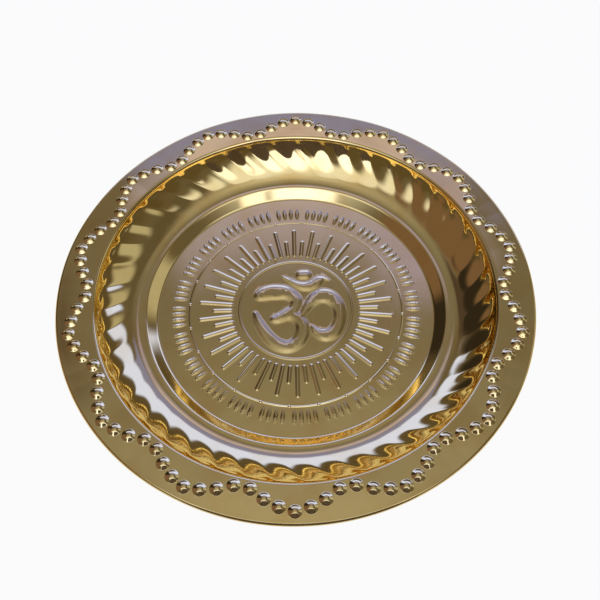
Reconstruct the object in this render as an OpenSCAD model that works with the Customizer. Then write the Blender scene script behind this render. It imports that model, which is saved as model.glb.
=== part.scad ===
// Puja thali: a round altar plate pressed from one disc of thin brass sheet.
// A flat rim with scallops of hollow beads breaks into a well with a wall of swirling flutes,
// and a rounded step leads down to a flat floor struck with an Om in a sun and a leaf garland.
// The sheet is modelled zone by zone, and the zones meet face to face.

/* [Plate] */
// Outer diameter over the curled edge
plate_d = 200; // [180:1:240]
// Thickness of the brass sheet
sheet_t = 0.5; // [0.4:0.05:0.6]
// Drop from the top of the rim to the top of the floor
well_depth = 16.5; // [14:0.5:22]
// Diameter of the curl that hems the outer edge
curl_d = 2; // [1.6:0.1:2.6]

/* [Rim] */
// Width of the rim, from the well to the outside of the curl
rim_w = 15; // [13.5:0.5:18]
// Number of scallops that the beads form
scallops = 14; // [10:1:15]
// Diameter of a bead at its foot
bead_d = 5.2; // [4.2:0.1:5.6]
// Height of a bead over the rim
bead_h = 1.5; // [1.2:0.1:2]
// Flat land between the well and the nearest beads
well_land = 0.3; // [0.2:0.1:1.6]
// Flat land between the curl and the farthest beads
edge_land = 1.6; // [1:0.1:3]

/* [Well] */
// Radius of the bend between the rim and the lip, on the top face
bend_r = 1; // [0.8:0.1:1.5]
// Run of the turned lip from the rim to the flutes, measured level
lip_run = 1.8; // [1.5:0.1:2.5]
// Slope of the lip, in degrees
lip_slope = 60; // [56:1:62]
// Run of the flutes, measured level
flute_run = 13.7; // [11:0.1:16]
// Number of flutes
flutes = 45; // [36:1:48]
// Height of a flute over the creases beside it, where it is fullest
flute_h = 0.45; // [0.2:0.05:0.8]
// Turn of a flute round the plate from its foot to the lip, in degrees
flute_swirl = 8.5; // [0:0.5:14]
// Run of the plain cove under the flutes, measured level
cove_run = 4.25; // [3.5:0.25:6]
// Drop of the cove from the flutes to the shelf
cove_drop = 0.65; // [0.4:0.05:1.4]
// Slope of the cove where it meets the flutes, in degrees
cove_slope = 17; // [10:1:24]
// Height of the shelf over the floor
step_h = 3.4; // [2.8:0.1:4.5]
// Run of the step from the shelf to the floor, measured level
step_run = 6; // [4.5:0.25:7.5]
// Slope of the step where it is steepest, in degrees
step_slope = 47; // [40:1:54]

/* [Emblem] */
// Plain band of floor between the step and the emblem
emblem_margin = 3.95; // [3:0.05:8]
// Radius of the ring round the Om, as a share of the emblem's radius
ring_share = 0.443; // [0.43:0.001:0.455]
// Width of the ring's line
ring_w = 1.6; // [1.2:0.1:1.9]
// Height of the ring's line over the floor
ring_h = 0.45; // [0.3:0.05:0.6]
// Height of the Om over the floor
om_h = 0.8; // [0.5:0.1:1.2]

/* [Sun] */
// Number of long rays, with a short one between each two
rays = 30; // [24:1:36]
// Radius where the rays start, as a share of the emblem's radius
ray_in_share = 0.49; // [0.48:0.005:0.52]
// Radius where the short rays end, as a share of the emblem's radius
short_ray_share = 0.66; // [0.61:0.005:0.69]
// Radius where the long rays end, as a share of the emblem's radius
long_ray_share = 0.77; // [0.71:0.005:0.785]
// Share of the room at their inner ends that the rays fill
ray_fill_share = 0.74; // [0.5:0.01:0.9]
// Height of a ray over the floor
ray_h = 0.5; // [0.3:0.05:0.8]

/* [Garland] */
// Number of garland swags
swags = 24; // [18:1:26]
// Number of leaves on a swag
swag_leaves = 4; // [2:1:5]
// Radius of the garland's cord, as a share of the emblem's radius
cord_share = 0.835; // [0.82:0.001:0.85]
// Width of the cord
cord_w = 1; // [0.8:0.1:1.2]
// Height of the cord over the floor
cord_h = 0.45; // [0.3:0.05:0.6]
// Share of a swag that its cord fills
cord_fill_share = 0.86; // [0.8:0.01:0.9]
// Gap between the cord and the leaves
leaf_gap = 0.2; // [0.15:0.05:0.6]
// Share of the room along the cord that the leaves fill
leaf_fill_share = 0.85; // [0.6:0.01:0.92]
// Height of a leaf over the floor
leaf_h = 0.6; // [0.3:0.05:0.8]
// Share of the gap between two cords that a bud fills
bud_fill_share = 0.94; // [0.6:0.01:0.98]
// Height of the buds over the floor
bud_h = 0.6; // [0.4:0.05:0.7]

/* [Hidden] */
$fn = 96;

// Shared heights and radii
overrun = sheet_t;
floor_top = sheet_t;
rim_top = floor_top + well_depth;
curl_centre_r = (plate_d - curl_d) / 2;
well_r = plate_d / 2 - rim_w;
lip_r = well_r - lip_run;
foot_r = lip_r - flute_run;
shelf_r = foot_r - cove_run;
floor_r = shelf_r - step_run;

// Share of a relief's height that shows as a hollow on the back of the sheet
back_share = 0.6;

// Facets round the curl and along a curved zone, and along and across each flute
curl_steps = 24;
zone_steps = 12;
wall_steps = 8;
flute_steps = 6;

// Places of the beads: how far a scallop is filled, beads to each side of its middle,
// how round it is, and the turn of the whole ring
beads_each_side = 3;
scallop_fill_share = 0.84;
scallop_round = 1.4;
scallop_turn = 11.6;

// How far down the wall a flute is fullest and how far down the step is steepest, as shares
fullest_share = 0.25;
riser_share = 0.48;

// Turn of the rays and of the garland round the plate
ray_turn = 6;
garland_turn = 3;

// Stations down the well: radius, height of the top face, slope
well_edge = [well_r, rim_top, 0];
lip_head = well_edge + [-bend_r * sin(lip_slope), bend_r * (cos(lip_slope) - 1), lip_slope];
lip_foot = [lip_r, lip_head[1] - (lip_head[0] - lip_r) * tan(lip_slope), lip_slope];
flute_foot = [foot_r, floor_top + step_h + cove_drop, cove_slope];
shelf = [shelf_r, floor_top + step_h, 0];
riser = [shelf_r - riser_share * step_run, floor_top + step_h * (1 - riser_share), step_slope];
floor_edge = [floor_r, floor_top, 0];

// Places and widths in the emblem, which fills the floor inside its margin
emblem_r = floor_r - emblem_margin;
ring_r = ring_share * emblem_r;
om_r = ring_r - ring_w / 2;
ray_in = ray_in_share * emblem_r;
short_ray_l = short_ray_share * emblem_r - ray_in;
long_ray_l = long_ray_share * emblem_r - ray_in;
ray_w = ray_fill_share * PI * ray_in / rays;
cord_r = cord_share * emblem_r;
cord_degrees = cord_fill_share * 360 / swags;
leaf_in = cord_r + cord_w / 2 + leaf_gap;
leaf_l = emblem_r - leaf_in;
leaf_w = leaf_fill_share * PI * leaf_in * cord_degrees / 180 / swag_leaves;
bud_d = bud_fill_share * PI * cord_r * (360 / swags - cord_degrees) / 180;

// Centre lines of the Om's strokes, as shares of om_r: x, y and half the stroke's width
upper_shares = [[-0.66, 0.30, 0.11], [-0.54, 0.35, 0.14], [-0.36, 0.37, 0.15], [-0.15, 0.34, 0.13],
    [0.00, 0.20, 0.11], [-0.03, 0.02, 0.10], [-0.16, -0.11, 0.11], [-0.32, -0.19, 0.10],
    [-0.40, -0.21, 0.08]];
lower_shares = [[-0.10, -0.10, 0.10], [0.06, -0.24, 0.11], [0.12, -0.44, 0.12], [0.04, -0.66, 0.12],
    [-0.14, -0.78, 0.12], [-0.36, -0.72, 0.12], [-0.54, -0.52, 0.11], [-0.67, -0.28, 0.09],
    [-0.74, -0.08, 0.06]];
tail_shares = [[0.06, -0.18, 0.06], [0.16, -0.04, 0.08], [0.27, 0.12, 0.10], [0.42, 0.25, 0.13],
    [0.59, 0.26, 0.14], [0.74, 0.12, 0.12], [0.80, -0.10, 0.11], [0.77, -0.32, 0.11],
    [0.67, -0.50, 0.12], [0.52, -0.56, 0.12], [0.38, -0.50, 0.09], [0.29, -0.38, 0.05]];
crescent_shares = [[-0.22, 0.70, 0.04], [-0.12, 0.63, 0.06], [0.02, 0.53, 0.08], [0.18, 0.48, 0.10],
    [0.34, 0.52, 0.11], [0.46, 0.62, 0.09], [0.56, 0.64, 0.05], [0.64, 0.61, 0.03]];

// The Om's dot: place and half axes, as shares of om_r
dot_place_shares = [0.16, 0.74];
dot_axis_shares = [0.145, 0.105];
dot_points = 32;

// Points along a stroke between two rows, points round its ends, and share of its width that is hollow
stroke_steps = 4;
cap_steps = 6;
hollow_width_share = 0.55;

// Point on the smooth curve from station a to station b, at share s of the way
function along(a, b, s) =
    let (ends = [[a[0], a[1]], [b[0], b[1]]])
    let (chord = norm(ends[1] - ends[0]))
    ends[0] * (2 * pow(s, 3) - 3 * pow(s, 2) + 1)
    + ends[1] * (3 * pow(s, 2) - 2 * pow(s, 3))
    - chord * [cos(a[2]), sin(a[2])] * (pow(s, 3) - 2 * pow(s, 2) + s)
    - chord * [cos(b[2]), sin(b[2])] * (pow(s, 3) - pow(s, 2));

// Direction of that curve, and the unit vector square to it on the underside
function travel(a, b, s) =
    let (ends = [[a[0], a[1]], [b[0], b[1]]])
    let (chord = norm(ends[1] - ends[0]))
    (ends[1] - ends[0]) * (6 * s - 6 * pow(s, 2))
    - chord * [cos(a[2]), sin(a[2])] * (3 * pow(s, 2) - 4 * s + 1)
    - chord * [cos(b[2]), sin(b[2])] * (3 * pow(s, 2) - 2 * s);
function square_down(a, b, s) =
    let (d = travel(a, b, s))
    [-d[1], d[0]] / norm(d);

// Section of the sheet from station a to station b, an even sheet_t thick
function top_line(a, b) = [for (i = [0:zone_steps]) along(a, b, i / zone_steps)];
function under_line(a, b) =
    [for (i = [zone_steps:-1:0]) along(a, b, i / zone_steps) + sheet_t * square_down(a, b, i / zone_steps)];
module zone(a, b) {
    rotate_extrude()
        polygon(concat(top_line(a, b), under_line(a, b)));
}

// Centres of the beads, in 14 arches that touch down near the well
bead_valley_r = well_r + well_land + bead_d / 2;
bead_apex_r = curl_centre_r - edge_land - bead_d / 2;
module at_beads() {
    for (scallop = [0:scallops - 1])
        for (k = [-beads_each_side:beads_each_side]) {
            turn = (scallop + k / beads_each_side * scallop_fill_share / 2) * 360 / scallops;
            dip = pow(abs(k) / beads_each_side, scallop_round);
            rotate([0, 0, turn + scallop_turn])
                translate([bead_apex_r + (bead_valley_r - bead_apex_r) * dip, 0, rim_top])
                    children();
        }
}

// Radius of the arc over a chord of width w and height h
function arc_r(w, h) = (pow(w / 2, 2) + pow(h, 2)) / (2 * h);

// Dome of foot diameter d and height h, standing on zero
module dome(d, h) {
    rotate_extrude()
        intersection() {
            translate([0, h - arc_r(d, h)])
                circle(r = arc_r(d, h));
            square([d, h]);
        }
}

// Round bar along x from zero to length l, of foot width w and height h, its top at height top_z
module bar(l, w, h, top_z) {
    r = arc_r(w, h);
    translate([w / 2, 0, top_z - r])
        rotate([0, 90, 0])
            rotate_extrude()
                intersection() {
                    union() {
                        circle(r = r);
                        translate([0, l - w])
                            circle(r = r);
                        square([r, l - w]);
                    }
                    translate([0, -r])
                        square([r, l - w + 2 * r]);
                }
}

// Everything over the floor's top face
module over_floor() {
    intersection() {
        children();
        translate([0, 0, floor_top])
            cylinder(r = floor_r, h = well_depth);
    }
}

// Low round line on radius r over an arc of so many degrees, its top at height top_z
module line(r, w, h, degrees, top_z) {
    rotate([0, 0, -degrees / 2])
        rotate_extrude(angle = degrees)
            translate([r, top_z - arc_r(w, h)])
                circle(r = arc_r(w, h));
}

// Smooth row of [x, y, half width] between rows i and i + 1 of a stroke
function row(rows, i) = rows[max(0, min(len(rows) - 1, i))];
function blend_row(rows, i, s) =
    row(rows, i)
    + s * (row(rows, i + 1) - row(rows, i - 1)) / 2
    + pow(s, 2) * (2 * row(rows, i - 1) - 5 * row(rows, i) + 4 * row(rows, i + 1) - row(rows, i + 2)) / 2
    + pow(s, 3) * (3 * (row(rows, i) - row(rows, i + 1)) + row(rows, i + 2) - row(rows, i - 1)) / 2;
function fine_rows(rows) = concat(
    [for (i = [0:len(rows) - 2]) for (j = [0:stroke_steps - 1]) blend_row(rows, i, j / stroke_steps)],
    [rows[len(rows) - 1]]);

// Heading of a fine row, and the point at an angle round it, as far out as its half width
function heading(fine, i) =
    let (d = row(fine, i + 1) - row(fine, i - 1))
    atan2(d[1], d[0]);
function beside(fine, i, angle) =
    [fine[i][0], fine[i][1]] + fine[i][2] * [cos(heading(fine, i) + angle), sin(heading(fine, i) + angle)];

// Outline of a stroke with round ends
function outline(fine) =
    let (last = len(fine) - 1)
    concat(
        [for (i = [0:last]) beside(fine, i, 90)],
        [for (j = [1:cap_steps - 1]) beside(fine, last, 90 - 180 * j / cap_steps)],
        [for (i = [last:-1:0]) beside(fine, i, -90)],
        [for (j = [1:cap_steps - 1]) beside(fine, 0, -90 - 180 * j / cap_steps)]);
module stroke(rows) {
    polygon(outline(fine_rows(rows)));
}

// A stroke without its end rows and narrower, for the hollow on the back
function inner_rows(rows) =
    [for (i = [1:len(rows) - 2]) [rows[i][0], rows[i][1], rows[i][2] * hollow_width_share]];

// The strokes of the Om at real size, drawn full or as the hollow behind them
module om_lines(hollow) {
    for (rows = [upper_shares, lower_shares, tail_shares])
        stroke(om_r * (hollow ? inner_rows(rows) : rows));
}
module crescent_line(hollow) {
    stroke(om_r * (hollow ? inner_rows(crescent_shares) : crescent_shares));
}
module dot_line(hollow) {
    size_share = hollow ? hollow_width_share : 1;
    translate(om_r * dot_place_shares)
        polygon([for (i = [0:dot_points - 1])
            let (angle = 360 * i / dot_points)
            om_r * size_share * [dot_axis_shares[0] * cos(angle), dot_axis_shares[1] * sin(angle)]]);
}

// A struck figure fills its opening in the floor and is hollow from below
module struck() {
    difference() {
        linear_extrude(floor_top + om_h)
            children(0);
        translate([0, 0, -overrun])
            linear_extrude(om_h + overrun)
                children(1);
    }
}

// Places of the rays and of the garland's parts
module at_rays(shift_share) {
    for (i = [0:rays - 1])
        rotate([0, 0, ray_turn + (i + shift_share) * 360 / rays])
            translate([ray_in, 0, 0])
                children();
}
module at_swags(shift_share) {
    for (i = [0:swags - 1])
        rotate([0, 0, garland_turn + (i + shift_share) * 360 / swags])
            children();
}
module at_leaves() {
    for (i = [0:swag_leaves - 1])
        at_swags(((i + 0.5) / swag_leaves - 0.5) * cord_fill_share)
            translate([leaf_in + leaf_l / 2, 0, 0])
                children();
}

// Pointed leaf, long along x, between two arcs
module leaf(l, w) {
    r = arc_r(l, w / 2);
    intersection() {
        translate([0, w / 2 - r])
            circle(r = r);
        translate([0, r - w / 2])
            circle(r = r);
    }
}

// Hem of the sheet: a curl that starts level with the rim and turns three quarters round
function curl_point(r, i) =
    let (angle = 90 - 270 * i / curl_steps)
    r * [cos(angle), sin(angle)];
module curled_edge() {
    outside = [for (i = [0:curl_steps]) curl_point(curl_d / 2, i)];
    inside = [for (i = [curl_steps:-1:0]) curl_point(curl_d / 2 - sheet_t, i)];
    color("#b79c5c")
        rotate_extrude()
            translate([curl_centre_r, rim_top - curl_d / 2])
                polygon(concat(outside, inside));
}

// Flat rim with a round opening under each bead
module rim() {
    color("#a8935e")
        difference() {
            rotate_extrude()
                translate([well_r, rim_top - sheet_t])
                    square([curl_centre_r - well_r, sheet_t]);
            at_beads()
                translate([0, 0, -sheet_t - overrun])
                    cylinder(d = bead_d, h = sheet_t + 2 * overrun);
        }
}

// Hollow beads: domes on a short neck that fills the opening in the rim
module rim_beads() {
    color("#d8c79a")
        at_beads()
            difference() {
                union() {
                    dome(bead_d, bead_h);
                    translate([0, 0, -sheet_t])
                        cylinder(d = bead_d, h = sheet_t);
                }
                translate([0, 0, -sheet_t])
                    dome(bead_d - 2 * sheet_t, bead_h);
            }
}

// Turned lip between the rim and the flutes
module well_lip() {
    color("#c9a23c")
        union() {
            zone(well_edge, lip_head);
            zone(lip_head, lip_foot);
        }
}

// Height of the wall's face over the plain curve at share s down it and share u across a flute:
// each flute is a soft round pillow between two creases, fullest near the lip, and dies out at both ends
function ease(x) = pow(x, 2) * (3 - 2 * x);
function fullness(s) = s < fullest_share ? ease(s / fullest_share) : ease((1 - s) / (1 - fullest_share));
function swell(s, u) = flute_h * fullness(s) * 4 * u * (1 - u);

// Point of the wall on ring j and corner i, raised by its swell and sunk by depth
across = flutes * flute_steps;
function wall_point(i, j, depth) =
    let (s = j / wall_steps)
    let (u = (i % flute_steps) / flute_steps)
    let (p = along(lip_foot, flute_foot, s) + (depth - swell(s, u)) * square_down(lip_foot, flute_foot, s))
    let (angle = 360 * i / across - flute_swirl * s)
    [p[0] * cos(angle), p[0] * sin(angle), p[1]];

// Number of the point, and the two triangles between four corners
function at(i, j, side) = (side * (wall_steps + 1) + j) * across + i % across;
function pair(a, b, c, d) = [[a, b, c], [a, c, d]];

// Wall of swirling flutes, an even sheet_t thick
module fluted_wall() {
    points = [for (side = [0, 1]) for (j = [0:wall_steps]) for (i = [0:across - 1])
        wall_point(i, j, side * sheet_t)];
    face = [for (j = [0:wall_steps - 1]) for (i = [0:across - 1])
        each pair(at(i, j, 0), at(i, j + 1, 0), at(i + 1, j + 1, 0), at(i + 1, j, 0))];
    back = [for (j = [0:wall_steps - 1]) for (i = [0:across - 1])
        each pair(at(i, j, 1), at(i + 1, j, 1), at(i + 1, j + 1, 1), at(i, j + 1, 1))];
    head = [for (i = [0:across - 1])
        each pair(at(i, 0, 0), at(i + 1, 0, 0), at(i + 1, 0, 1), at(i, 0, 1))];
    foot = [for (i = [0:across - 1])
        each pair(at(i, wall_steps, 0), at(i, wall_steps, 1),
            at(i + 1, wall_steps, 1), at(i + 1, wall_steps, 0))];
    color("#bfa668")
        polyhedron(points, concat(face, back, head, foot));
}

// Plain cove under the flutes
module cove() {
    color("#b39447")
        zone(flute_foot, shelf);
}

// Rounded step down to the floor
module step() {
    color("#c2a65a")
        union() {
            zone(shelf, riser);
            zone(riser, floor_edge);
        }
}

// Flat floor that the thali stands on, opened for the Om and hollow behind the finer relief
module floor() {
    color("#96855a")
        difference() {
            cylinder(r = floor_r, h = sheet_t);
            translate([0, 0, -overrun])
                linear_extrude(sheet_t + 2 * overrun) {
                    om_lines(false);
                    crescent_line(false);
                    dot_line(false);
                }
            line(ring_r, ring_w, ring_h, 360, back_share * ring_h);
            at_rays(0)
                bar(long_ray_l, ray_w, ray_h, back_share * ray_h);
            at_rays(0.5)
                bar(short_ray_l, ray_w, ray_h, back_share * ray_h);
            at_swags(0)
                line(cord_r, cord_w, cord_h, cord_degrees, back_share * cord_h);
            at_leaves()
                translate([0, 0, -overrun])
                    linear_extrude(overrun + back_share * leaf_h)
                        leaf(leaf_l * back_share, leaf_w * back_share);
            at_swags(0.5)
                translate([cord_r, 0, back_share * bud_h - bud_h])
                    dome(bud_d, bud_h);
        }
}

// Raised ring round the emblem
module emblem_ring() {
    color("#c7b27a")
        over_floor()
            line(ring_r, ring_w, ring_h, 360, floor_top + ring_h);
}

// Sun rays, long and short in turn
module long_rays() {
    color("#bda872")
        over_floor()
            at_rays(0)
                bar(long_ray_l, ray_w, ray_h, floor_top + ray_h);
}
module short_rays() {
    color("#b8a36c")
        over_floor()
            at_rays(0.5)
                bar(short_ray_l, ray_w, ray_h, floor_top + ray_h);
}

// The Om: its main figure, crescent and dot
module om_figure() {
    color("#ad9a66")
        struck() {
            om_lines(false);
            om_lines(true);
        }
}
module om_crescent() {
    color("#b09d69")
        struck() {
            crescent_line(false);
            crescent_line(true);
        }
}
module om_dot() {
    color("#b3a06c")
        struck() {
            dot_line(false);
            dot_line(true);
        }
}

// Leaf garland round the floor: cords, hanging leaves and buds
module garland_cords() {
    color("#bba670")
        over_floor()
            at_swags(0)
                line(cord_r, cord_w, cord_h, cord_degrees, floor_top + cord_h);
}
module garland_leaves() {
    color("#b5a06a")
        at_leaves()
            translate([0, 0, floor_top])
                linear_extrude(leaf_h)
                    leaf(leaf_l, leaf_w);
}
module garland_buds() {
    color("#c4af77")
        at_swags(0.5)
            translate([cord_r, 0, floor_top])
                dome(bud_d, bud_h);
}

curled_edge();
rim();
rim_beads();
well_lip();
fluted_wall();
cove();
step();
floor();
emblem_ring();
long_rays();
short_rays();
om_figure();
om_crescent();
om_dot();
garland_cords();
garland_leaves();
garland_buds();
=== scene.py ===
from math import cos, pi, radians, sin, tan

import bpy
import numpy as np
from mathutils import Matrix, Vector
from mathutils.geometry import delaunay_2d_cdt


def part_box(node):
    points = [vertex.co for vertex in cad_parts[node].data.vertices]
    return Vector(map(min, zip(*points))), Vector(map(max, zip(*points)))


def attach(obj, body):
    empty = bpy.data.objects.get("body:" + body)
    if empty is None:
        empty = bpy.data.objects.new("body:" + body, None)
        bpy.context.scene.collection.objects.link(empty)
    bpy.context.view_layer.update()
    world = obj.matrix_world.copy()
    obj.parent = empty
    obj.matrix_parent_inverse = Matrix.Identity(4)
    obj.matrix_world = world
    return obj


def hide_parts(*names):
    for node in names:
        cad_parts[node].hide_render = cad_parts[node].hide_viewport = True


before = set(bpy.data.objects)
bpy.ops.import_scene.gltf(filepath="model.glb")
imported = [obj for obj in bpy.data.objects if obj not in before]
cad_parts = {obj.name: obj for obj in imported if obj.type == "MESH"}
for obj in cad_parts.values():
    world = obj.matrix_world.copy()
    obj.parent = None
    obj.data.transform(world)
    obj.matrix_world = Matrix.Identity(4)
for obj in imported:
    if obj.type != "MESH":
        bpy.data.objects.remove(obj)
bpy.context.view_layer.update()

# Rim: the flat border that the press leaves round the well, in half-hard brass sheet 0.5 mm
# thick. Striking the beads draws it up a little into a low crest along their scallops, and the
# sheet springs back unevenly, so it mirrors the room in slow bends.
MM = 0.001
sheet_t = 0.5
curl_d = 2.0
rim_w = 15.0
crest_slope = 0.022
crest_round = 1.2
around = 720

plate_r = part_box("curled_edge")[1][0] / MM
rim_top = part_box("rim")[1][2] / MM
floor_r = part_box("floor")[1][0] / MM
floor_top = sheet_t
well_r = plate_r - rim_w
curl_centre_r = plate_r - curl_d / 2

scallops = 14
beads_each_side = 3
scallop_fill_share = 0.84
scallop_round = 1.4
scallop_turn = radians(11.6)
bead_d = 5.2
bead_fillet = 0.2
well_land = 0.3
edge_land = 1.6
valley_r = well_r + well_land + bead_d / 2
apex_r = curl_centre_r - edge_land - bead_d / 2

# Slow waves in the sheet: direction in degrees, length and height in millimetres, and phase
SPRING_WAVES = [(12, 88, 0.030, 0.4), (71, 61, 0.022, 2.1), (128, 74, 0.026, 4.0),
                (163, 47, 0.012, 1.2), (38, 39, 0.009, 5.3)]
SPRING = sum(wave[2] for wave in SPRING_WAVES)


def ramp(x, low, high):
    """Smooth step from 0 at low to 1 at high."""
    share = np.clip((x - low) / (high - low), 0, 1)
    return share * share * (3 - 2 * share)


def scallop_r(angle):
    """Radius of the line of beads at an angle round the plate."""
    pitch = 2 * pi / scallops
    share = np.abs((angle - scallop_turn + pitch / 2) % pitch - pitch / 2) / (scallop_fill_share * pitch / 2)
    return apex_r + (valley_r - apex_r) * np.minimum(share, 1) ** scallop_round


def spring_lift(x, y):
    """How far the real sheet stands off the true form: up on the floor, down at the rim."""
    r = np.hypot(x, y)
    lift = np.zeros_like(r)
    for turn, length, height, phase in SPRING_WAVES:
        way = x * cos(radians(turn)) + y * sin(radians(turn))
        lift += height * np.cos(2 * pi * way / length + phase)
    outward = ramp(r, floor_r, well_r)
    lift += SPRING * (1 - 2 * outward)
    off_crest = np.clip(r, well_r, curl_centre_r) - scallop_r(np.arctan2(y, x))
    return lift - crest_slope * (np.hypot(off_crest, crest_round) - crest_round) * outward


def sprung(points, normals):
    """Points and normals of the true form, moved to where the real sheet lies."""
    nudge = 0.02
    x, y = points[:, 0], points[:, 1]
    tilt_x = (spring_lift(x + nudge, y) - spring_lift(x - nudge, y)) / (2 * nudge)
    tilt_y = (spring_lift(x, y + nudge) - spring_lift(x, y - nudge)) / (2 * nudge)
    moved = points + np.column_stack([0 * x, 0 * x, spring_lift(x, y)])
    turned = normals - normals[:, 2:] * np.column_stack([tilt_x, tilt_y, 0 * x])
    return moved, turned / np.linalg.norm(turned, axis=1)[:, None]


def pressed(name, node, finish, slot, face, polygons, normals, drop):
    """One piece of the sheet as a closed shell: its face, its back and a wall along each open edge."""
    count = len(face)
    front, front_normals = sprung(face, normals)
    back, back_normals = sprung(face + drop, -normals)
    starts = np.concatenate([p.ravel() for p in polygons])
    ends = np.concatenate([np.roll(p, -1, axis=1).ravel() for p in polygons])
    open_edge = ~np.isin(starts * count + ends, ends * count + starts)
    a, b = starts[open_edge], ends[open_edge]
    walls = np.column_stack([b, a, a + count, b + count])
    turned_over = [p[:, ::-1] for p in polygons]
    loops = [p.tolist() for p in polygons] + [(p + count).tolist() for p in turned_over] + [walls.tolist()]
    mesh = bpy.data.meshes.new(name)
    mesh.from_pydata(np.vstack([front, back]) * MM, [], [loop for part in loops for loop in part])
    mesh.polygons.foreach_set("use_smooth", np.arange(len(mesh.polygons)) < len(mesh.polygons) - len(walls))
    corner_normals = [front_normals[p.ravel()] for p in polygons]
    corner_normals += [back_normals[p.ravel()] for p in turned_over]
    corner_normals.append(np.zeros((walls.size, 3)))
    mesh.normals_split_custom_set(np.vstack(corner_normals))
    mesh.materials.append(finish)
    piece = bpy.data.objects.new(name, mesh)
    bpy.context.scene.collection.objects.link(piece)
    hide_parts(node)
    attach(piece, "root")


def ring_of(r, count, x=0.0, y=0.0):
    """Points round a circle."""
    angle = np.arange(count) * 2 * pi / count
    return np.column_stack([x + r * np.cos(angle), y + r * np.sin(angle)])


def laid_out(outlines, spots):
    """Triangles over closed outlines and loose spots, and for each triangle the outlines that hold it."""
    starts = np.cumsum([0] + [len(outline) for outline in outlines])
    loops = [list(range(a, b)) for a, b in zip(starts, starts[1:])]
    corners = [Vector(corner) for corner in np.vstack(outlines + [spots])]
    only_inside = 1
    weld = 1e-5
    flat, _, triangles, _, _, holders = delaunay_2d_cdt(corners, [], loops, only_inside, weld, True)
    return np.array(flat, dtype=float), np.array(triangles), [set(held) for held in holders]


def compact(triangles):
    """The points that the triangles use, and the triangles with those points numbered anew."""
    used, renumbered = np.unique(triangles, return_inverse=True)
    return used, renumbered.reshape(triangles.shape)


def add(tree, kind, inputs, **settings):
    """Adds a shader node with its settings; an input takes a value or another node's output."""
    node = tree.nodes.new(kind)
    for key, value in settings.items():
        setattr(node, key, value)
    for key, value in inputs.items():
        if isinstance(value, bpy.types.NodeSocket):
            tree.links.new(value, node.inputs[key])
        else:
            node.inputs[key].default_value = value
    return node


def colour(code):
    """Linear colour of an sRGB hex code."""
    shares = [int(code[i:i + 2], 16) / 255 for i in (1, 3, 5)]
    return [s / 12.92 if s < 0.04045 else ((s + 0.055) / 1.055) ** 2.4 for s in shares] + [1.0]


def lacquered_brass(name, bright, dull, smoothest, roughest):
    """Buffed yellow brass under clear lacquer: a gold mirror, faintly ringed by the buffing wheel and
    rippled by the lacquer, a little cloudier where that lies thicker, and whiter at a glancing
    angle. The wheel's lines are drawn coarser than real ones, which are too fine to show."""
    mark_h_mm = 0.0002
    buff_line_mm = 0.35
    cloud_mm = 14
    grain_mm = 2.6
    material = bpy.data.materials.new(name)
    material.use_nodes = True
    tree = material.node_tree
    tree.nodes.clear()
    place = add(tree, "ShaderNodeTexCoord", {}).outputs["Object"]
    split = add(tree, "ShaderNodeSeparateXYZ", {"Vector": place})
    level = add(tree, "ShaderNodeCombineXYZ", {"X": split.outputs["X"], "Y": split.outputs["Y"]})
    from_axis = add(tree, "ShaderNodeVectorMath", {0: level.outputs[0]}, operation="LENGTH")
    turn = add(tree, "ShaderNodeMath", {0: split.outputs["Y"], 1: split.outputs["X"]}, operation="ARCTAN2")
    down = add(tree, "ShaderNodeMath", {0: from_axis.outputs["Value"], 1: split.outputs["Z"]},
               operation="SUBTRACT")
    lines = add(tree, "ShaderNodeMath", {0: down.outputs[0], 1: 1 / (buff_line_mm * MM)},
                operation="MULTIPLY")
    wheel = add(tree, "ShaderNodeCombineXYZ", {"X": lines.outputs[0], "Y": turn.outputs[0]})
    rings = add(tree, "ShaderNodeTexNoise", {"Vector": wheel.outputs[0], "Scale": 1.0, "Detail": 3.0})
    cloud = add(tree, "ShaderNodeTexNoise", {"Vector": place, "Scale": 1 / (cloud_mm * MM), "Detail": 4.0})
    grain = add(tree, "ShaderNodeTexNoise", {"Vector": place, "Scale": 1 / (grain_mm * MM), "Detail": 1.0})
    stain = add(tree, "ShaderNodeMapRange", {"Value": cloud.outputs[0], "From Min": 0.45, "From Max": 0.75})
    tone = add(tree, "ShaderNodeMix", {"Factor": stain.outputs[0], "A": colour(bright), "B": colour(dull)},
               data_type="RGBA")
    haze = add(tree, "ShaderNodeMath", {0: cloud.outputs[0], 1: rings.outputs[0]}, operation="MULTIPLY")
    gloss = add(tree, "ShaderNodeMapRange", {"Value": haze.outputs[0], "From Min": 0.1, "From Max": 0.45,
                                             "To Min": smoothest, "To Max": roughest})
    ringed = add(tree, "ShaderNodeBump", {"Height": rings.outputs[0], "Strength": 1.0,
                                          "Distance": mark_h_mm * MM})
    rippled = add(tree, "ShaderNodeBump", {"Height": grain.outputs[0], "Strength": 1.0,
                                           "Distance": 2 * mark_h_mm * MM, "Normal": ringed.outputs[0]})
    shader = add(tree, "ShaderNodeBsdfPrincipled", {
        "Base Color": tone.outputs["Result"], "Roughness": gloss.outputs[0], "Normal": rippled.outputs[0],
        "Metallic": 1.0, "Specular Tint": colour("#FFE9B0"), "Coat Weight": 0.25, "Coat Roughness": 0.04})
    add(tree, "ShaderNodeOutputMaterial", {"Surface": shader.outputs[0]})
    return material


bead_foot_r = bead_d / 2 + bead_fillet
bead_around = 40
bead_places = []
for scallop in range(scallops):
    for k in range(-beads_each_side, beads_each_side + 1):
        turn = (scallop + k / beads_each_side * scallop_fill_share / 2) * 2 * pi / scallops + scallop_turn
        bead_places.append([scallop_r(turn) * cos(turn), scallop_r(turn) * sin(turn)])
bead_places = np.array(bead_places)

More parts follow.
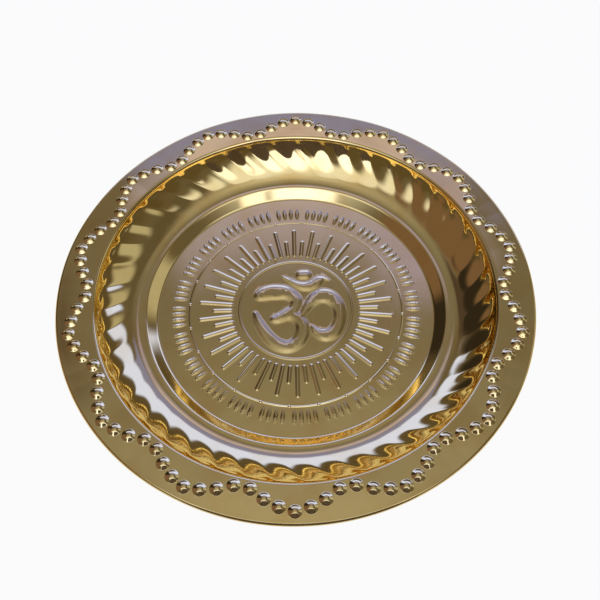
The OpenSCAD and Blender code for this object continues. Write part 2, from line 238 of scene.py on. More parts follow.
outlines = [ring_of(curl_centre_r, around), ring_of(well_r, around)]
outlines += [ring_of(bead_foot_r, bead_around, x, y) for x, y in bead_places]
spot_step = 1.5
spot_rows = np.arange(well_r + spot_step, curl_centre_r - spot_step / 2, spot_step)
spots = np.vstack([ring_of(r, around // 2) for r in spot_rows])
to_bead = np.min(np.hypot(spots[:, :1] - bead_places[:, 0], spots[:, 1:] - bead_places[:, 1]), axis=1)
flat, triangles, holders = laid_out(outlines, spots[to_bead > bead_foot_r + spot_step / 3])
used, triangles = compact(triangles[[held == {0} for held in holders]])
rim_face = np.column_stack([flat[used], np.full(len(used), rim_top)])
upright = np.tile([0.0, 0.0, 1.0], (len(used), 1))
rolled_brass = lacquered_brass("buffed_rolled_brass", bright="#F6DA8B", dull="#EFCB78",
                               smoothest=0.05, roughest=0.12)
pressed("rim_sheet", "rim", rolled_brass, "sheet_brass", rim_face, [triangles], upright, -sheet_t * upright)

# Beads: 14 scallops of 7 domes each, struck up from below in the same blow as the rim.
# A bead is as thin as the sheet and hollow on the back. Its flank steepens from a round top to
# a tight foot, as sheet lies when a round punch pushes it into a die.
bead_h = 0.95
bead_steps = 12
flank_samples = 400
bead_crown_share = 0.75
bead_foot_share = 0.91


def revolved(section, tilts, count):
    """Points, polygons and normals of a section [r, z] turned round the axis, from its outer end inwards."""
    i = np.arange(count)
    following = (i + 1) % count
    circle = ring_of(1.0, count)
    points = np.vstack([np.column_stack([r * circle, np.full(count, z)]) for r, z in section])
    normals = np.vstack([np.column_stack([r * circle, np.full(count, z)]) for r, z in tilts])
    bands = [np.column_stack([i, following, following + count, i + count]) + j * count
             for j in range(len(section) - 1)]
    return points, np.vstack(bands), normals


out = 0.5 + 0.5 * np.cos(np.linspace(0, pi, bead_steps, endpoint=False))
fine = np.linspace(1, 0, flank_samples + 1)
fine_slopes = ramp(fine, 0, bead_crown_share) * (1 - ramp(fine, bead_foot_share, 1))
climbed = np.cumsum(fine_slopes) / np.sum(fine_slopes)
steepest = bead_h * flank_samples / np.sum(fine_slopes) / bead_foot_r
bead_slopes = np.interp(-out, -fine, fine_slopes) * steepest
section = np.column_stack([bead_foot_r * out, rim_top + bead_h * np.interp(-out, -fine, climbed)])
tilts = np.column_stack([bead_slopes, np.ones(bead_steps)]) / np.hypot(bead_slopes, 1)[:, None]
points, bands, normals = revolved(section, tilts, bead_around)
crown = len(points)
points = np.vstack([points, [0, 0, rim_top + bead_h]])
normals = np.vstack([normals, [0, 0, 1]])
last_ring = np.arange(crown - bead_around, crown)
cap = np.column_stack([last_ring, np.roll(last_ring, -1), np.full(bead_around, crown)])
beads = len(bead_places)
shifts = np.column_stack([bead_places, np.zeros(beads)])
numbering = np.arange(beads)[:, None, None] * len(points)
struck_brass = lacquered_brass("die_struck_brass", bright="#F8DE93", dull="#F0D080",
                               smoothest=0.05, roughest=0.10)
pressed("beads", "rim_beads", struck_brass, "struck_brass",
        (shifts[:, None] + points).reshape(-1, 3),
        [(bands + numbering).reshape(-1, 4), (cap + numbering).reshape(-1, 3)],
        np.tile(normals, (beads, 1)), -sheet_t * np.tile(normals, (beads, 1)))

# Edge: the sheet is curled over by three quarters of a turn into a 2 mm hem, so the plate has
# no sharp rim and stays round. The cut end of the sheet shows only from below.
curl_steps = 24
cut_end = radians(-180)
curl_top = radians(90)
lean = np.linspace(cut_end, curl_top, curl_steps + 1)
tilts = np.column_stack([np.cos(lean), np.sin(lean)])
curl_line = [curl_centre_r, rim_top - curl_d / 2] + curl_d / 2 * tilts
points, bands, normals = revolved(curl_line, tilts, around)
pressed("curled_hem", "curled_edge", rolled_brass, "sheet_brass", points, [bands], normals,
        -sheet_t * normals)

# Lip and wall: inside the rim the sheet turns down over a tight bend, and the wall is drawn in 45
# flutes that swirl as they go down. Each flute is a soft pillow between two creases, which starts
# on the lip, is fullest soon below it and runs out at the foot of the wall.
bend_r = 1.45
lip_run = 2.2
lip_slope = radians(67)
lip_pull = 0.6
flute_run = 13.3
flutes = 45
flute_h = 0.55
flute_swirl = radians(8.5)
flutes_from_share = 0.11
fullest_share = 0.26
crease_round = 0.25
foot_slope = radians(17)
foot_over_shelf = 0.65
step_h = 3.4
bend_steps = 8
lip_steps = 8
wall_steps = 44
across_flute = 20

lip_r = well_r - lip_run
foot_r = lip_r - flute_run
bend_end = [well_r - bend_r * sin(lip_slope), rim_top - bend_r * (1 - cos(lip_slope))]
lip_foot = [lip_r, bend_end[1] - (bend_end[0] - lip_r) * tan(lip_slope), lip_slope]
flute_foot = [foot_r, floor_top + step_h + foot_over_shelf, foot_slope]


def drawn(a, b, steps, pull=1.0):
    """Smooth section from station a to station b [radius, height, slope], and its normals. A low pull
    lets the section leave the slope of station a sooner."""
    s = np.linspace(0, 1, steps + 1)[:, None]
    ends = np.array([a[:2], b[:2]])
    chord = np.linalg.norm(ends[1] - ends[0])
    from_a = -chord * pull * np.array([cos(a[2]), sin(a[2])])
    from_b = -chord * np.array([cos(b[2]), sin(b[2])])
    points = (ends[0] * (2 * s ** 3 - 3 * s ** 2 + 1) + ends[1] * (3 * s ** 2 - 2 * s ** 3)
              + from_a * (s ** 3 - 2 * s ** 2 + s) + from_b * (s ** 3 - s ** 2))
    travel = ((ends[1] - ends[0]) * (6 * s - 6 * s ** 2)
              + from_a * (3 * s ** 2 - 4 * s + 1) + from_b * (3 * s ** 2 - 2 * s))
    tilts = np.column_stack([travel[:, 1], -travel[:, 0]])
    return points, tilts / np.linalg.norm(tilts, axis=1)[:, None]


bend_lean = np.linspace(0, lip_slope, bend_steps + 1)
bend_tilts = np.column_stack([-np.sin(bend_lean), np.cos(bend_lean)])
bend_line = [well_r, rim_top - bend_r] + bend_r * bend_tilts
straight_line = np.linspace(bend_end, lip_foot[:2], lip_steps + 1)[1:]
lip_line = np.vstack([bend_line, straight_line])
lip_tilts = np.vstack([bend_tilts, np.tile(bend_tilts[-1], (lip_steps, 1))])
wall_line, wall_tilts = drawn(lip_foot, flute_foot, wall_steps, lip_pull)
well_line = np.vstack([lip_line, wall_line[1:]])
well_tilts = np.vstack([lip_tilts, wall_tilts[1:]])
walked = np.concatenate([[0], np.cumsum(np.linalg.norm(np.diff(well_line, axis=0), axis=1))])
walk_share = walked / walked[-1]


def fluted(share, angle):
    """Points of the fluted face at a share of the way down the well's wall and an angle round it."""
    r, z = np.interp(share, walk_share, well_line[:, 0]), np.interp(share, walk_share, well_line[:, 1])
    tilt_r = np.interp(share, walk_share, well_tilts[:, 0])
    tilt_z = np.interp(share, walk_share, well_tilts[:, 1])
    u = angle * flutes / (2 * pi)
    pillow = np.sqrt(np.sin(pi * u) ** 2 + crease_round ** 2) - crease_round
    pillow /= np.sqrt(1 + crease_round ** 2) - crease_round
    fullness = ramp(share, flutes_from_share, fullest_share) * (1 - ramp(share, fullest_share, 1))
    swell = flute_h * fullness * pillow
    place = angle - flute_swirl * (lip_r - r) / flute_run
    return np.column_stack([(r + swell * tilt_r) * np.cos(place), (r + swell * tilt_r) * np.sin(place),
                            z + swell * tilt_z])


def flute_band(rows):
    """Points, polygons, normals and drop of the fluted face between two rows of the well's section."""
    columns = flutes * across_flute
    angle = np.tile(np.arange(columns) * 2 * pi / columns, len(rows))
    share = np.repeat(walk_share[rows], columns)
    nudge = 1e-4
    down = fluted(share + nudge, angle) - fluted(share - nudge, angle)
    onward = fluted(share, angle + nudge) - fluted(share, angle - nudge)
    normals = np.cross(onward, down)
    normals /= np.linalg.norm(normals, axis=1)[:, None]
    i = np.arange(columns)
    following = (i + 1) % columns
    bands = [np.column_stack([i, following, following + columns, i + columns]) + j * columns
             for j in range(len(rows) - 1)]
    place = angle - flute_swirl * (lip_r - np.repeat(well_line[rows, 0], columns)) / flute_run
    tilts = np.repeat(well_tilts[rows], columns, axis=0)
    drop = -sheet_t * np.column_stack([tilts[:, 0] * np.cos(place), tilts[:, 0] * np.sin(place), tilts[:, 1]])
    return fluted(share, angle), [np.vstack(bands)], normals, drop


lip_rows = np.arange(len(lip_line))
wall_rows = np.arange(len(lip_line) - 1, len(well_line))
pressed("turned_lip", "well_lip", rolled_brass, "sheet_brass", *flute_band(lip_rows))
pressed("swirl_fluted_wall", "fluted_wall", rolled_brass, "sheet_brass", *flute_band(wall_rows))

# Cove: a plain ring of the sheet between the foot of the flutes and the step, pressed smooth, on
# which the slope of the wall runs out to a level shelf.
cove_run = 4.25
cove_steps = 12
shelf_r = foot_r - cove_run
shelf = [shelf_r, floor_top + step_h, 0]
cove_line, cove_tilts = drawn(flute_foot, shelf, cove_steps)
points, bands, normals = revolved(cove_line, cove_tilts, around)
pressed("plain_cove", "cove", rolled_brass, "sheet_brass", points, [bands], normals, -sheet_t * normals)

# Step: the sheet drops from the shelf to the floor over a straight flank between two rounds,
# which stiffens the flat bottom of the plate.
step_round_share = 0.26
flank_steps = 28
step_run = shelf_r - floor_r
across = np.linspace(0, 1, flank_steps + 1)
steep = ramp(across, 0, step_round_share) * (1 - ramp(across, 1 - step_round_share, 1))
fallen = np.concatenate([[0], np.cumsum(steep[1:] + steep[:-1])])
step_slopes = steep * 2 * flank_steps / fallen[-1] * step_h / step_run
step_line = np.column_stack([shelf_r - step_run * across, floor_top + step_h * (1 - fallen / fallen[-1])])
step_tilts = np.column_stack([-step_slopes, np.ones(len(across))]) / np.hypot(step_slopes, 1)[:, None]
points, bands, normals = revolved(step_line, step_tilts, around)
pressed("rounded_step", "step", rolled_brass, "sheet_brass", points, [bands], normals, -sheet_t * normals)

# Ring: a fine raised line round the middle of the floor, which frames the sign inside the rays.
# The floor's die strikes it in the same blow as the rest of the emblem.
emblem_margin = 3.95
ring_share = 0.443
ring_w = 1.6
ring_h = 0.16
ring_contour_shares = (-0.25, 0, 0.25)

emblem_r = floor_r - emblem_margin
ring_r = ring_share * emblem_r


def ring_height(x, y):
    """Height of the ring over the floor."""
    return ring_h * ramp(ring_w / 2 - np.abs(np.hypot(x, y) - ring_r), 0, ring_w / 2)


# Om: the sign inside the ring, struck up from below in strokes with wide soft shoulders. The three
# strokes of its figure merge where they meet, and its crescent and dot stand free beside it.
om_r = ring_r - ring_w / 2
om_h = 0.44
om_shoulder = 2.6
om_fullness = 1.3
om_merge = 0.5
om_steps = 6
dot_steps = 2
least_half_w = 0.12
round_points = 9

# Strokes as shares of the Om's radius: place of the middle line and half the width
OM_FIGURE_SHARES = [
    [(-0.66, 0.30, 0.11), (-0.54, 0.35, 0.14), (-0.36, 0.37, 0.15), (-0.15, 0.34, 0.13), (0.00, 0.20, 0.11),
     (-0.03, 0.02, 0.10), (-0.16, -0.11, 0.11), (-0.32, -0.19, 0.10), (-0.40, -0.21, 0.08)],
    [(-0.10, -0.10, 0.10), (0.06, -0.24, 0.11), (0.12, -0.44, 0.12), (0.04, -0.66, 0.12),
     (-0.14, -0.78, 0.12), (-0.36, -0.72, 0.12), (-0.54, -0.52, 0.11), (-0.67, -0.28, 0.09),
     (-0.74, -0.08, 0.06)],
    [(0.06, -0.18, 0.06), (0.16, -0.04, 0.08), (0.27, 0.12, 0.10), (0.42, 0.25, 0.13), (0.59, 0.26, 0.14),
     (0.74, 0.12, 0.12), (0.80, -0.10, 0.11), (0.77, -0.32, 0.11), (0.67, -0.50, 0.12), (0.52, -0.56, 0.12),
     (0.38, -0.50, 0.09), (0.29, -0.38, 0.05)]]
OM_CRESCENT_SHARES = [(-0.22, 0.70, 0.04), (-0.12, 0.63, 0.06), (0.02, 0.53, 0.08), (0.18, 0.48, 0.10),
                      (0.34, 0.52, 0.11), (0.46, 0.62, 0.09), (0.56, 0.64, 0.05), (0.64, 0.61, 0.03)]
OM_DOT_SHARES = [(0.12, 0.74, 0.105), (0.20, 0.74, 0.105)]


def smooth_stroke(rows, steps):
    """Rows [x, y, half width] of a stroke at real size, with smooth rows put between them."""
    rows = np.array(rows) * om_r * [1, 1, om_fullness]
    padded = np.vstack([rows[0], rows, rows[-1]])
    fine = []
    for before, a, b, after in zip(padded, padded[1:], padded[2:], padded[3:]):
        for s in np.arange(steps) / steps:
            fine.append(a + s * (b - before) / 2 + s ** 2 * (2 * before - 5 * a + 4 * b - after) / 2
                        + s ** 3 * (3 * (a - b) + after - before) / 2)
    return np.array(fine + [rows[-1]])


strokes = [smooth_stroke(rows, om_steps) for rows in OM_FIGURE_SHARES + [OM_CRESCENT_SHARES]]
strokes.append(smooth_stroke(OM_DOT_SHARES, dot_steps))
stroke_nodes = ["om_figure"] * len(OM_FIGURE_SHARES) + ["om_crescent", "om_dot"]


def inside_stroke(x, y, stroke):
    """How far each point lies inside a stroke's edge; negative outside."""
    deepest = np.full(len(x), -om_r)
    for a, b in zip(stroke, stroke[1:]):
        step = b - a
        s = np.clip(((x - a[0]) * step[0] + (y - a[1]) * step[1]) / (step[0] ** 2 + step[1] ** 2), 0, 1)
        away = np.hypot(x - a[0] - s * step[0], y - a[1] - s * step[1])
        deepest = np.maximum(deepest, a[2] + s * step[2] - away)
    return deepest


def om_height(x, y):
    """Height of the Om over the floor."""
    height = np.zeros(len(x))
    near = np.hypot(x, y) < om_r
    far_outside = -20
    depths = np.array([inside_stroke(x[near], y[near], stroke) for stroke in strokes])
    depth = om_merge * np.log(np.exp(np.clip(depths, far_outside, None) / om_merge).sum(axis=0))
    height[near] = om_h * ramp(depth, 0, om_shoulder)
    return height


def stroke_outline(stroke, inset):
    """Outline of a stroke with round ends, drawn in by an inset."""
    width = np.clip(stroke[:, 2] - inset, least_half_w, None)
    heading = np.gradient(stroke[:, :2], axis=0)
    heading /= np.linalg.norm(heading, axis=1)[:, None]
    left = np.column_stack([-heading[:, 1], heading[:, 0]])
    bend = np.linspace(0, pi, round_points)[1:-1, None]
    far = stroke[-1, :2] + width[-1] * (np.cos(bend) * left[-1] + np.sin(bend) * heading[-1])
    near = stroke[0, :2] - width[0] * (np.cos(bend) * left[0] + np.sin(bend) * heading[0])
    outline = np.vstack([stroke[:, :2] + width[:, None] * left, far,
                         (stroke[:, :2] - width[:, None] * left)[::-1], near])
    return outline[::-1]


def om_outlines(share):
    """Outlines of the strokes, drawn in by a share of the shoulder, each with its node."""
    inset = share * om_shoulder
    return [(stroke_outline(stroke, inset), node) for stroke, node in zip(strokes, stroke_nodes)]


# Rays: 60 raised bars round the ring, long and short in turn, which make the sun. Each is a narrow
# ridge with round ends, struck by the floor's die.
rays = 60
ray_turn = radians(6)
ray_in_share = 0.49
ray_out_shares = [0.77, 0.66]
ray_fill_share = 0.84
ray_h = 0.27
ray_point_gap = 0.7

ray_in = ray_in_share * emblem_r
ray_outs = [share * emblem_r for share in ray_out_shares]
ray_w = ray_fill_share * 2 * pi * ray_in / rays


def folded(x, y, copies, turn):
    """Radius of a point, its angle from the nearest of so many copies round the plate, and which it is."""
    pitch = 2 * pi / copies
    angle = np.arctan2(y, x) - turn
    number = np.round(angle / pitch)
    return np.hypot(x, y), angle - number * pitch, number.astype(int)


def ray_height(x, y):
    """Height of the rays over the floor."""
    r, off, number = folded(x, y, rays, ray_turn)
    out = np.where(number % 2 == 0, ray_outs[0], ray_outs[1])
    along_ray = r * np.cos(off)
    beside_ray = r * np.sin(off)
    past = along_ray - np.clip(along_ray, ray_in + ray_w / 2, out - ray_w / 2)
    return ray_h * ramp(ray_w / 2 - np.hypot(past, beside_ray), 0, ray_w / 2)


def turned(outline, angle, out=0.0):
    """An outline moved out along x and turned round the plate."""
    x, y = outline[:, 0] + out, outline[:, 1]
    return np.column_stack([x * cos(angle) - y * sin(angle), x * sin(angle) + y * cos(angle)])


def capsule(a, b, half_w, spacing):
    """Outline of a bar along x from a to b with round ends."""
    straight = np.linspace(a + half_w, b - half_w, max(2, round((b - a) / spacing)))
    bend = np.linspace(-pi / 2, pi / 2, max(5, round(pi * half_w / spacing)))[1:-1]
    far = np.column_stack([b - half_w + half_w * np.cos(bend), half_w * np.sin(bend)])
    near = np.column_stack([a + half_w - half_w * np.cos(bend), -half_w * np.sin(bend)])
    low = np.column_stack([straight, np.full(len(straight), -half_w)])
    return np.vstack([low, far, low[::-1] * [1, -1], near])


def ray_outlines(share):
    """Outlines of the rays, drawn in by a share of half their width, each with its node."""
    half_w = ray_w / 2 * (1 - share)
    inset = ray_w / 2 - half_w
    laid = []
    for number in range(rays):
        bar = capsule(ray_in + inset, ray_outs[number % 2] - inset, half_w, ray_point_gap)
        laid.append((turned(bar, ray_turn + number * 2 * pi / rays), ("long_rays", "short_rays")[number % 2]))
    return laid


# Garland: 24 swags of mango leaves on a fine cord round the sun, with a bud between each two. The
# floor's die strikes each leaf as a pointed ridge with a vein sunk along its middle.
swags = 24
swag_turn = radians(3)
swag_fill_share = 0.86
cord_share = 0.835
cord_w = 1.0
cord_h = 0.14
cord_point_gap = 0.6
swag_leaves = 4
leaf_gap = 0.2
leaf_fill_share = 0.94
leaf_h = 0.26
leaf_points = 15
vein_half_w = 0.3
vein_depth = 0.12
vein_from_edge = 0.2
vein_full_from_edge = 0.6
bud_d = 1.59
bud_h = 0.22
bud_points = 16

cord_r = cord_share * emblem_r
cord_half_angle = swag_fill_share * pi / swags
leaf_in = cord_r + cord_w / 2 + leaf_gap
leaf_l = emblem_r - leaf_in
leaf_w = leaf_fill_share * leaf_in * 2 * cord_half_angle / swag_leaves
leaf_arc_r = ((leaf_l / 2) ** 2 + (leaf_w / 2) ** 2) / leaf_w


def garland_height(x, y):
    """Height of cords, leaves and buds over the floor. A leaf lies between two arcs of one radius."""
    r, off, _ = folded(x, y, swags, swag_turn)
    cord_off = off - np.clip(off, -cord_half_angle, cord_half_angle)
    from_cord = np.hypot(r - cord_r, cord_r * cord_off)
    cord = cord_h * ramp(cord_w / 2 - from_cord, 0, cord_w / 2)
    leaf_pitch = 2 * cord_half_angle / swag_leaves
    leaf_number = np.clip(np.floor(off / leaf_pitch), -swag_leaves / 2, swag_leaves / 2 - 1) + 0.5
    leaf_off = off - leaf_number * leaf_pitch
    along_leaf = r * np.cos(leaf_off) - leaf_in - leaf_l / 2
    beside_leaf = np.abs(r * np.sin(leaf_off))
    depth = leaf_arc_r - np.hypot(along_leaf, beside_leaf + leaf_arc_r - leaf_w / 2)
    vein = vein_depth * (1 - ramp(beside_leaf, 0, vein_half_w))
    vein *= ramp(depth, vein_from_edge, vein_full_from_edge)
    leaf = leaf_h * ramp(depth, 0, leaf_w / 2) - vein
    r, off, _ = folded(x, y, swags, swag_turn + pi / swags)
    from_bud = np.hypot(r * np.cos(off) - cord_r, r * np.sin(off))
    bud = bud_h * ramp(bud_d / 2 - from_bud, 0, bud_d / 2)
    return np.maximum.reduce([cord, leaf, bud])


def leaf_outline(inset):
    """Outline of a pointed leaf round its middle, drawn in by an inset."""
    offset = leaf_arc_r - leaf_w / 2
    arc_r = leaf_arc_r - inset
    half = np.arccos(offset / arc_r)
    bend = np.linspace(-half, half, leaf_points)
    side = np.column_stack([arc_r * np.sin(bend), arc_r * np.cos(bend) - offset])
    return np.vstack([side[::-1], -side[::-1][1:-1]])


def garland_outlines(share):
    """Outlines of cords, leaves and buds, drawn in by a share of half their width, each with its node."""
    half_w = cord_w / 2 * (1 - share)
    bar_end = cord_half_angle * cord_r + half_w
    bar = capsule(-bar_end, bar_end, half_w, cord_point_gap)
    sweep = bar[:, 0] / cord_r
    bar_r = cord_r + bar[:, 1]
    cord = np.column_stack([bar_r * np.sin(sweep), bar_r * np.cos(sweep)])
    leaf = leaf_outline(share * leaf_w / 2)
    bud = ring_of(bud_d / 2 * (1 - share), bud_points)
    laid = []
    for number in range(swags):
        angle = swag_turn + number * 2 * pi / swags
        laid.append((turned(cord, angle - pi / 2), "garland_cords"))
        for place in range(swag_leaves):
            leaf_angle = angle + ((place + 0.5) / swag_leaves - 0.5) * 2 * cord_half_angle
            laid.append((turned(leaf, leaf_angle, leaf_in + leaf_l / 2), "garland_leaves"))
        laid.append((turned(bud, angle + pi / swags, cord_r), "garland_buds"))
    return laid


# Floor: the flat bottom of the well that the thali stands on. One blow of its die strikes it with
# ring, Om, rays and garland, all soft-edged, and leaves the same forms hollow on the back.
contour_shares = (0.0, 0.35, 0.7)


def relief(x, y):
    """Height of the struck emblem over the floor."""
    return np.maximum.reduce([om_height(x, y), ring_height(x, y), ray_height(x, y), garland_height(x, y)])


# Each piece is bounded by its outline, and contours inside it give its ridge enough points
outlines = [ring_of(floor_r, around)]
owners = ["floor"]
for share in contour_shares:
    for outline, node in ray_outlines(share) + garland_outlines(share) + om_outlines(share):
        outlines.append(outline)
        owners.append(node if share == 0 else None)
outlines += [ring_of(ring_r + ring_w / 2, around // 2), ring_of(ring_r - ring_w / 2, around // 2)]
owners += ["emblem_ring", "inside_ring"]
outlines += [ring_of(ring_r + share * ring_w, around // 2) for share in ring_contour_shares]
owners += [None] * len(ring_contour_shares)

spot_step = 1.6
spot_rows = np.arange(spot_step, floor_r - spot_step / 2, spot_step)
spots = np.vstack([ring_of(r, int(2 * pi * r / spot_step)) for r in spot_rows])
flat, triangles, holders = laid_out(outlines, spots)


def owner_of(held):
    """The piece that a triangle belongs to, from the numbers of the outlines that hold it."""
    names = [owners[i] for i in held if owners[i] is not None]
    raised = [name for name in names if name not in ("floor", "emblem_ring", "inside_ring")]
    if raised:
        return raised[0]
    if "emblem_ring" in names and "inside_ring" not in names:
        return "emblem_ring"
    return "floor"


owner_names = np.array([owner_of(held) for held in holders])
nudge = 0.01
x, y = flat[:, 0], flat[:, 1]
height = relief(x, y)
slope_x = (relief(x + nudge, y) - relief(x - nudge, y)) / (2 * nudge)
slope_y = (relief(x, y + nudge) - relief(x, y - nudge)) / (2 * nudge)
face = np.column_stack([x, y, floor_top + height])
normals = np.column_stack([-slope_x, -slope_y, np.ones(len(x))])
normals /= np.linalg.norm(normals, axis=1)[:, None]
relief_pieces = [("floor_sheet", "floor", rolled_brass), ("emblem_ring_line", "emblem_ring", struck_brass),
                 ("long_sun_rays", "long_rays", struck_brass), ("short_sun_rays", "short_rays", struck_brass),
                 ("om_body", "om_figure", struck_brass), ("om_moon", "om_crescent", struck_brass),
                 ("om_point", "om_dot", struck_brass), ("swag_cords", "garland_cords", struck_brass),
                 ("mango_leaves", "garland_leaves", struck_brass),
                 ("garland_bud_dots", "garland_buds", struck_brass)]
for name, node, finish in relief_pieces:
    used, piece_triangles = compact(triangles[owner_names == node])
    slot = "sheet_brass" if finish is rolled_brass else "struck_brass"
    pressed(name, node, finish, slot, face[used], [piece_triangles], normals[used],
            np.tile([0, 0, -sheet_t], (len(used), 1)))

# Board: the matt white board, 4 metres wide, that the plate stands on for its picture. The camera
# sees it nearly white with a trace of the plate's shadow, and the brass mirrors it less bright.
stage_size = 4.0
white_share = 0.94
mirrored_share = 0.5
board = bpy.data.materials.new("matt_white_board")
board.use_nodes = True
tree = board.node_tree
tree.nodes.clear()
ray = add(tree, "ShaderNodeLightPath", {})
mirrored = add(tree, "ShaderNodeMath", {0: ray.outputs["Is Glossy Ray"], 1: mirrored_share},
               operation="MULTIPLY")
lift = add(tree, "ShaderNodeMath", {0: ray.outputs["Is Camera Ray"], 1: white_share,
                                    2: mirrored.outputs[0]}, operation="MULTIPLY_ADD")
matt = add(tree, "ShaderNodeBsdfDiffuse", {"Color": colour("#F2F0EC")})
white = add(tree, "ShaderNodeEmission", {"Color": colour("#FFFFFF"), "Strength": 1.0})
blend = add(tree, "ShaderNodeMixShader", {0: lift.outputs[0], 1: matt.outputs[0], 2: white.outputs[0]})
add(tree, "ShaderNodeOutputMaterial", {"Surface": blend.outputs[0]})
mesh = bpy.data.meshes.new("board")
half = stage_size / 2
mesh.from_pydata([(-half, -half, 0), (half, -half, 0), (half, half, 0), (-half, half, 0)], [], [(0, 1, 2, 3)])
mesh.materials.append(board)
floor_board = bpy.data.objects.new("board", mesh)
bpy.context.scene.collection.objects.link(floor_board)

# Cloth: a dull brown cloth hung between the plate and the camera, which only the brass sees. It
# keeps the window's light off what faces it from close by. Its sizes are in metres.
cloth_half_w = 0.095
cloth_h = 0.253
cloth_y = -0.15
cloth = bpy.data.materials.new("dark_cloth")
cloth.use_nodes = True
tree = cloth.node_tree
tree.nodes.clear()
matt = add(tree, "ShaderNodeBsdfDiffuse", {"Color": colour("#8A7A62")})
add(tree, "ShaderNodeOutputMaterial", {"Surface": matt.outputs[0]})
mesh = bpy.data.meshes.new("dark_cloth")
mesh.from_pydata([(-cloth_half_w, cloth_y, 0), (cloth_half_w, cloth_y, 0),
                  (cloth_half_w, cloth_y, cloth_h), (-cloth_half_w, cloth_y, cloth_h)], [], [(0, 1, 2, 3)])
mesh.materials.append(cloth)
dark_cloth = bpy.data.objects.new("dark_cloth", mesh)
bpy.context.scene.collection.objects.link(dark_cloth)
dark_cloth.visible_camera = False
dark_cloth.visible_diffuse = False
dark_cloth.visible_shadow = False

# Light: one big soft window high on the viewer's side, a smaller one beside it, a bluish far wall,
# and darker walls and flags between them, as brassware needs to show its form.
world = bpy.data.worlds.new("studio")
bpy.context.scene.world = world
world.use_nodes = True
tree = world.node_tree
tree.nodes.clear()
way = add(tree, "ShaderNodeTexCoord", {}).outputs["Generated"]
split = add(tree, "ShaderNodeSeparateXYZ", {"Vector": way})
azimuth = add(tree, "ShaderNodeMath", {0: split.outputs["Y"], 1: split.outputs["X"]}, operation="ARCTAN2")
azimuth_deg = add(tree, "ShaderNodeMath", {0: azimuth.outputs[0]}, operation="DEGREES")
elevation = add(tree, "ShaderNodeMath", {0: split.outputs["Z"]}, operation="ARCSINE")
elevation_deg = add(tree, "ShaderNodeMath", {0: elevation.outputs[0]}, operation="DEGREES")

# Light of the room behind the cards, at elevations in degrees
DOME = [(0, (0.10, 0.08, 0.06)), (30, (0.13, 0.11, 0.09)), (45, (0.15, 0.13, 0.12)),
        (60, (0.20, 0.19, 0.21)), (76, (0.42, 0.41, 0.45)), (90, (0.76, 0.76, 0.92))]
low_to_high = add(tree, "ShaderNodeMath", {0: elevation_deg.outputs[0], 1: 90.0}, operation="DIVIDE")
dome = add(tree, "ShaderNodeValToRGB", {"Fac": low_to_high.outputs[0]})
ramp_stops = dome.color_ramp.elements
while len(ramp_stops) < len(DOME):
    ramp_stops.new(0.5)
for stop, (degrees, light) in zip(ramp_stops, DOME):
    stop.position = degrees / 90
    stop.color = (*light, 1.0)

# Cards round the plate: name, middle azimuth and elevation, half width and half height, and soft
# edge, all in degrees, and the light that each sends
CARDS = [
    ("brown wall", 172, 38, 30, 26, 14, (0.19, 0.125, 0.11)),
    ("black flag", 138, 26, 12, 22, 8, (0.03, 0.025, 0.025)),
    ("dark corner", 15, 55, 35, 12, 14, (0.12, 0.11, 0.10)),
    ("grey wall", 22, 32, 14, 14, 10, (0.48, 0.49, 0.54)),
    ("dark wall", 129, 50, 8, 9, 8, (0.08, 0.06, 0.07)),
    ("far wall", 84, 40, 24, 8, 5, (0.26, 0.30, 0.95)),
    ("far haze", 88, 52, 16, 4, 5, (0.41, 0.41, 0.92)),
    ("haze corner", 76, 55, 4, 3, 4, (0.39, 0.38, 0.95)),
    ("far lamp", 89, 50, 14, 1.5, 2.5, (0.62, 0.58, 1.0)),
    ("far window", 82, 25, 40, 10, 5, (0.75, 0.98, 2.7)),
    ("near floor", 268, 12, 70, 22, 12, (0.11, 0.09, 0.06)),
    ("window haze", 268, 68, 75, 16, 14, (0.92, 1.0, 1.4)),
    ("window", 262, 58, 24, 15, 10, (1.7, 1.85, 2.9)),
    ("side window", 301, 58, 9, 15, 6, (1.5, 1.6, 2.4))]
light = dome.outputs[0]
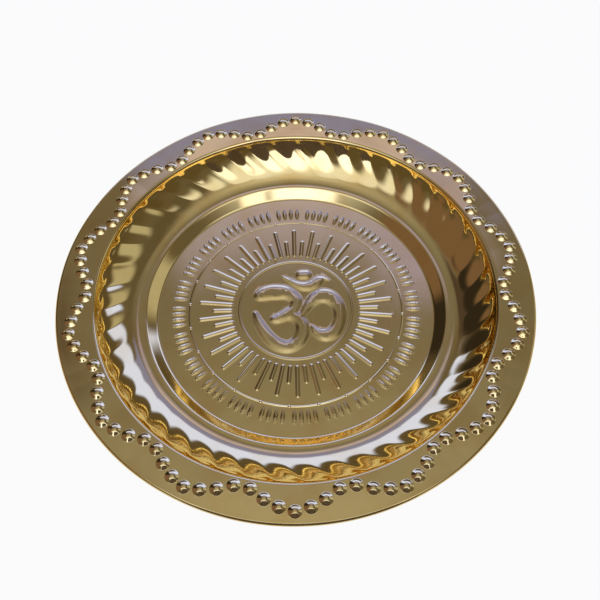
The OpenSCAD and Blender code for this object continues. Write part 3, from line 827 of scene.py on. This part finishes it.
for name, card_azimuth, card_elevation, half_w, half_h, soft, shine in CARDS:
    off = add(tree, "ShaderNodeMath", {0: azimuth_deg.outputs[0], 1: float(card_azimuth)},
              operation="SUBTRACT")
    near = add(tree, "ShaderNodeMath", {0: off.outputs[0], 1: 180.0, 2: -180.0}, operation="WRAP")
    aside = add(tree, "ShaderNodeMath", {0: near.outputs[0]}, operation="ABSOLUTE")
    rise = add(tree, "ShaderNodeMath", {0: elevation_deg.outputs[0], 1: float(card_elevation)},
               operation="SUBTRACT")
    above = add(tree, "ShaderNodeMath", {0: rise.outputs[0]}, operation="ABSOLUTE")
    wide = add(tree, "ShaderNodeMapRange", {"Value": aside.outputs[0], "From Min": half_w + soft / 2,
                                            "From Max": half_w - soft / 2}, interpolation_type="SMOOTHSTEP")
    tall = add(tree, "ShaderNodeMapRange", {"Value": above.outputs[0], "From Min": half_h + soft / 2,
                                            "From Max": half_h - soft / 2}, interpolation_type="SMOOTHSTEP")
    cover = add(tree, "ShaderNodeMath", {0: wide.outputs[0], 1: tall.outputs[0]}, operation="MULTIPLY")
    light = add(tree, "ShaderNodeMix", {"Factor": cover.outputs[0], 6: light, 7: (*shine, 1.0)},
                data_type="RGBA", label=name).outputs[2]
studio = add(tree, "ShaderNodeBackground", {"Color": light, "Strength": 1.0})
backdrop = add(tree, "ShaderNodeBackground", {"Color": colour("#FFFFFF"), "Strength": 1.0})
ray = add(tree, "ShaderNodeLightPath", {})
sky = add(tree, "ShaderNodeMixShader", {0: ray.outputs["Is Camera Ray"], 1: studio.outputs[0],
                                        2: backdrop.outputs[0]})
add(tree, "ShaderNodeOutputWorld", {"Surface": sky.outputs[0]})
bpy.context.scene.view_settings.view_transform = "Standard"

# Camera: in front of the plate and well above it, so the whole emblem shows. Lengths are in
# millimetres from the middle of the rim's plane, and places in the picture in pixels.
view_px = 600
focal_px = 862.2
view_distance = 361.3
view_elevation = radians(58.12)
view_roll = 0.0243
aim_px = (295.35, 289.1)
sensor_mm = 36.0
camera_data = bpy.data.cameras.new("camera")
camera_data.sensor_width = sensor_mm
camera_data.lens = focal_px / view_px * sensor_mm
camera = bpy.data.objects.new("camera", camera_data)
bpy.context.scene.collection.objects.link(camera)
ahead = Vector((0, cos(view_elevation), -sin(view_elevation)))
rightward = Vector((1, 0, 0))
upward = rightward.cross(ahead)
looking = Matrix((rightward, upward, ahead))
rolled = Matrix.Rotation(view_roll, 3, "Z") @ looking
aim = Vector((aim_px[0] - view_px / 2, view_px / 2 - aim_px[1], focal_px)).normalized()
turned_to_aim = Vector((0, 0, 1)).rotation_difference(aim).to_matrix() @ rolled
axes = turned_to_aim.transposed()
facing = Matrix((axes.col[0], axes.col[1], -axes.col[2])).transposed()
position = Vector((0, 0, rim_top)) - ahead * view_distance
camera.matrix_world = Matrix.Translation(position * MM) @ facing.to_4x4()
bpy.context.scene.camera = camera
